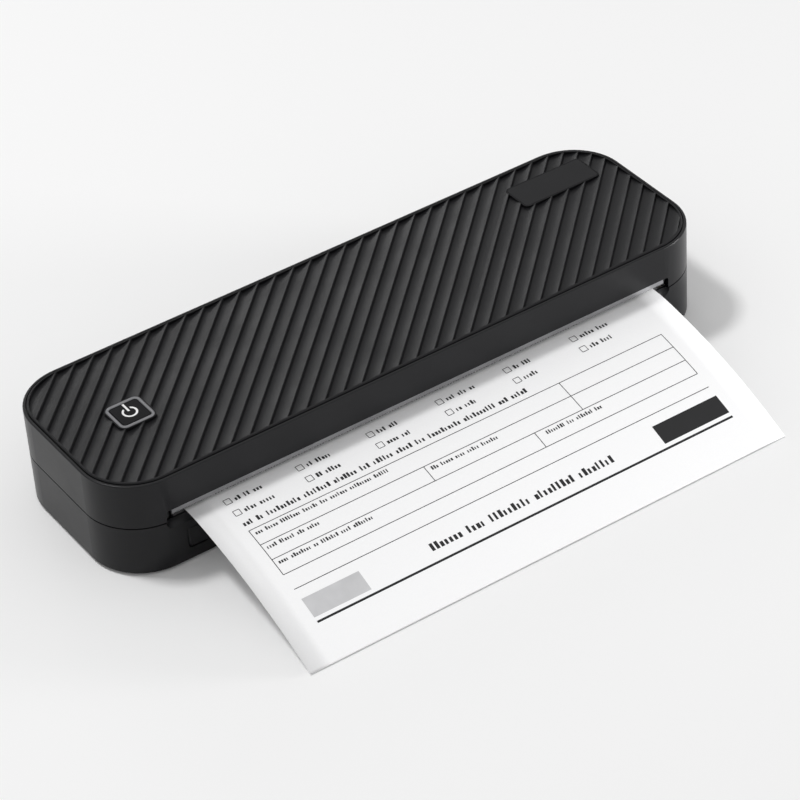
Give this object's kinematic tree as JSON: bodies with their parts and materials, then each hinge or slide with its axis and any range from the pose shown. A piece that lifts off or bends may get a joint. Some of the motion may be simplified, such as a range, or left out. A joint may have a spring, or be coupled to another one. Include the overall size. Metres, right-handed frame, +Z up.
{
  "type": "a4 portable thermal printer",
  "caption": "Portable A4 thermal printer with a wave-ribbed hinged lid, print head, platen drive, roll bin and a printed sheet in its slot.",
  "frame": {"origin": "middle of the underside, on the surface that the rubber feet rest on", "axes": "+X right along the length, -Y towards the front where the paper leaves, +Z up"},
  "size_m": [0.265, 0.1575, 0.0419],
  "materials": {
    "black_plastic": "satin, fine texture",
    "ribbed_plastic": "matt, fine grain",
    "key_gloss": "gloss",
    "bezel_metal": "satin",
    "symbol_white": "matt",
    "tear_steel": "brushed",
    "frame_steel": "plated",
    "pin_steel": "polished",
    "sink_aluminium": "extruded",
    "head_ceramic": "glazed",
    "platen_rubber": "ground",
    "foot_rubber": "matt",
    "gear_plastic": "moulded",
    "inner_plastic": "moulded",
    "board_green": "solder mask",
    "battery_wrap": "shrink wrap",
    "cable_white": "ribbon",
    "thermal_paper": "coated",
    "core_card": "card"
  },
  "bodies": {
    "base": {"lower_shell": "black_plastic", "side_frame_left": "frame_steel", "side_frame_right": "frame_steel", "platen_bushes": "gear_plastic", "paper_bin": "inner_plastic", "paper_guide": "inner_plastic", "front_guide": "inner_plastic", "paper_sensor": "inner_plastic", "drive_motor": "frame_steel", "motor_screws": "pin_steel", "idler_axle": "pin_steel", "main_board": "board_green", "board_screws": "pin_steel", "battery_pack": "battery_wrap", "usb_board": "board_green", "usb_socket": "frame_steel", "rubber_feet": "foot_rubber", "frame_screws": "pin_steel", "hinge_pins": "pin_steel", "head_cable": "cable_white", "latch_springs": "pin_steel"},
    "lid": {"upper_shell": "black_plastic", "top_panel": "ribbed_plastic", "name_pad": "ribbed_plastic", "key_bezel": "bezel_metal", "key_board": "board_green", "tear_bar": "tear_steel", "tear_bar_screws": "pin_steel", "head_bracket": "frame_steel", "bracket_screws": "pin_steel", "latch_pins": "pin_steel", "head_springs": "pin_steel", "cable_socket": "inner_plastic"},
    "key": {"power_key": "key_gloss", "key_symbol": "symbol_white"},
    "print_head": {"heat_sink": "sink_aluminium", "thermal_head": "head_ceramic"},
    "latch": {"release_button": "black_plastic", "latch_bar": "frame_steel"},
    "platen": {"platen_shaft": "pin_steel", "platen_roller": "platen_rubber", "platen_gear": "gear_plastic"},
    "idler": {"idler_gear": "gear_plastic"},
    "pinion": {"motor_pinion": "gear_plastic", "motor_shaft": "pin_steel"},
    "roll": {"paper_roll": "thermal_paper", "roll_core": "core_card"},
    "sheet": {"paper_sheet": "thermal_paper"}
  },
  "joints": [
    {"name": "lid_hinge", "type": "hinge", "parent": "base", "child": "lid", "pos_m": [0, 0.03795, 0.0218], "axis": [-1, 0, 0], "range_deg": [0, 75], "deforming": ["head_cable"]},
    {"name": "power_key_press", "type": "slide", "parent": "lid", "child": "key", "axis": [0, 0, -1], "range_m": [0, 0.0005], "stiffness_N_per_m": 900},
    {"name": "head_float", "type": "slide", "parent": "lid", "child": "print_head", "axis": [0, 0, 1], "range_m": [0, 0.0006], "stiffness_N_per_m": 2500, "deforming": ["head_springs"]},
    {"name": "release_press", "type": "slide", "parent": "base", "child": "latch", "axis": [0, 1, 0], "range_m": [0, 0.0016], "stiffness_N_per_m": 600, "deforming": ["latch_springs"]},
    {"name": "platen_spin", "type": "hinge", "parent": "base", "child": "platen", "pos_m": [0, -0.0295, 0.0175], "axis": [1, 0, 0], "continuous": true},
    {"name": "idler_spin", "type": "hinge", "parent": "base", "child": "idler", "pos_m": [0.113, -0.02125, 0.0115], "axis": [1, 0, 0], "continuous": true},
    {"name": "motor_spin", "type": "hinge", "parent": "base", "child": "pinion", "pos_m": [0.113, -0.01175, 0.0115], "axis": [1, 0, 0], "continuous": true},
    {"name": "roll_spin", "type": "hinge", "parent": "base", "child": "roll", "pos_m": [0.001, 0.0175, 0.01328], "axis": [1, 0, 0], "continuous": true},
    {"name": "paper_feed", "type": "slide", "parent": "base", "child": "sheet", "axis": [0, -1, 0], "range_m": [0, 0.012]}
  ],
  "couplings": [
    {"joint": "idler_spin", "follows": "platen_spin", "ratio": -1.4286},
    {"joint": "motor_spin", "follows": "platen_spin", "ratio": 4},
    {"joint": "roll_spin", "follows": "platen_spin", "ratio": 0.54496}
  ]
}
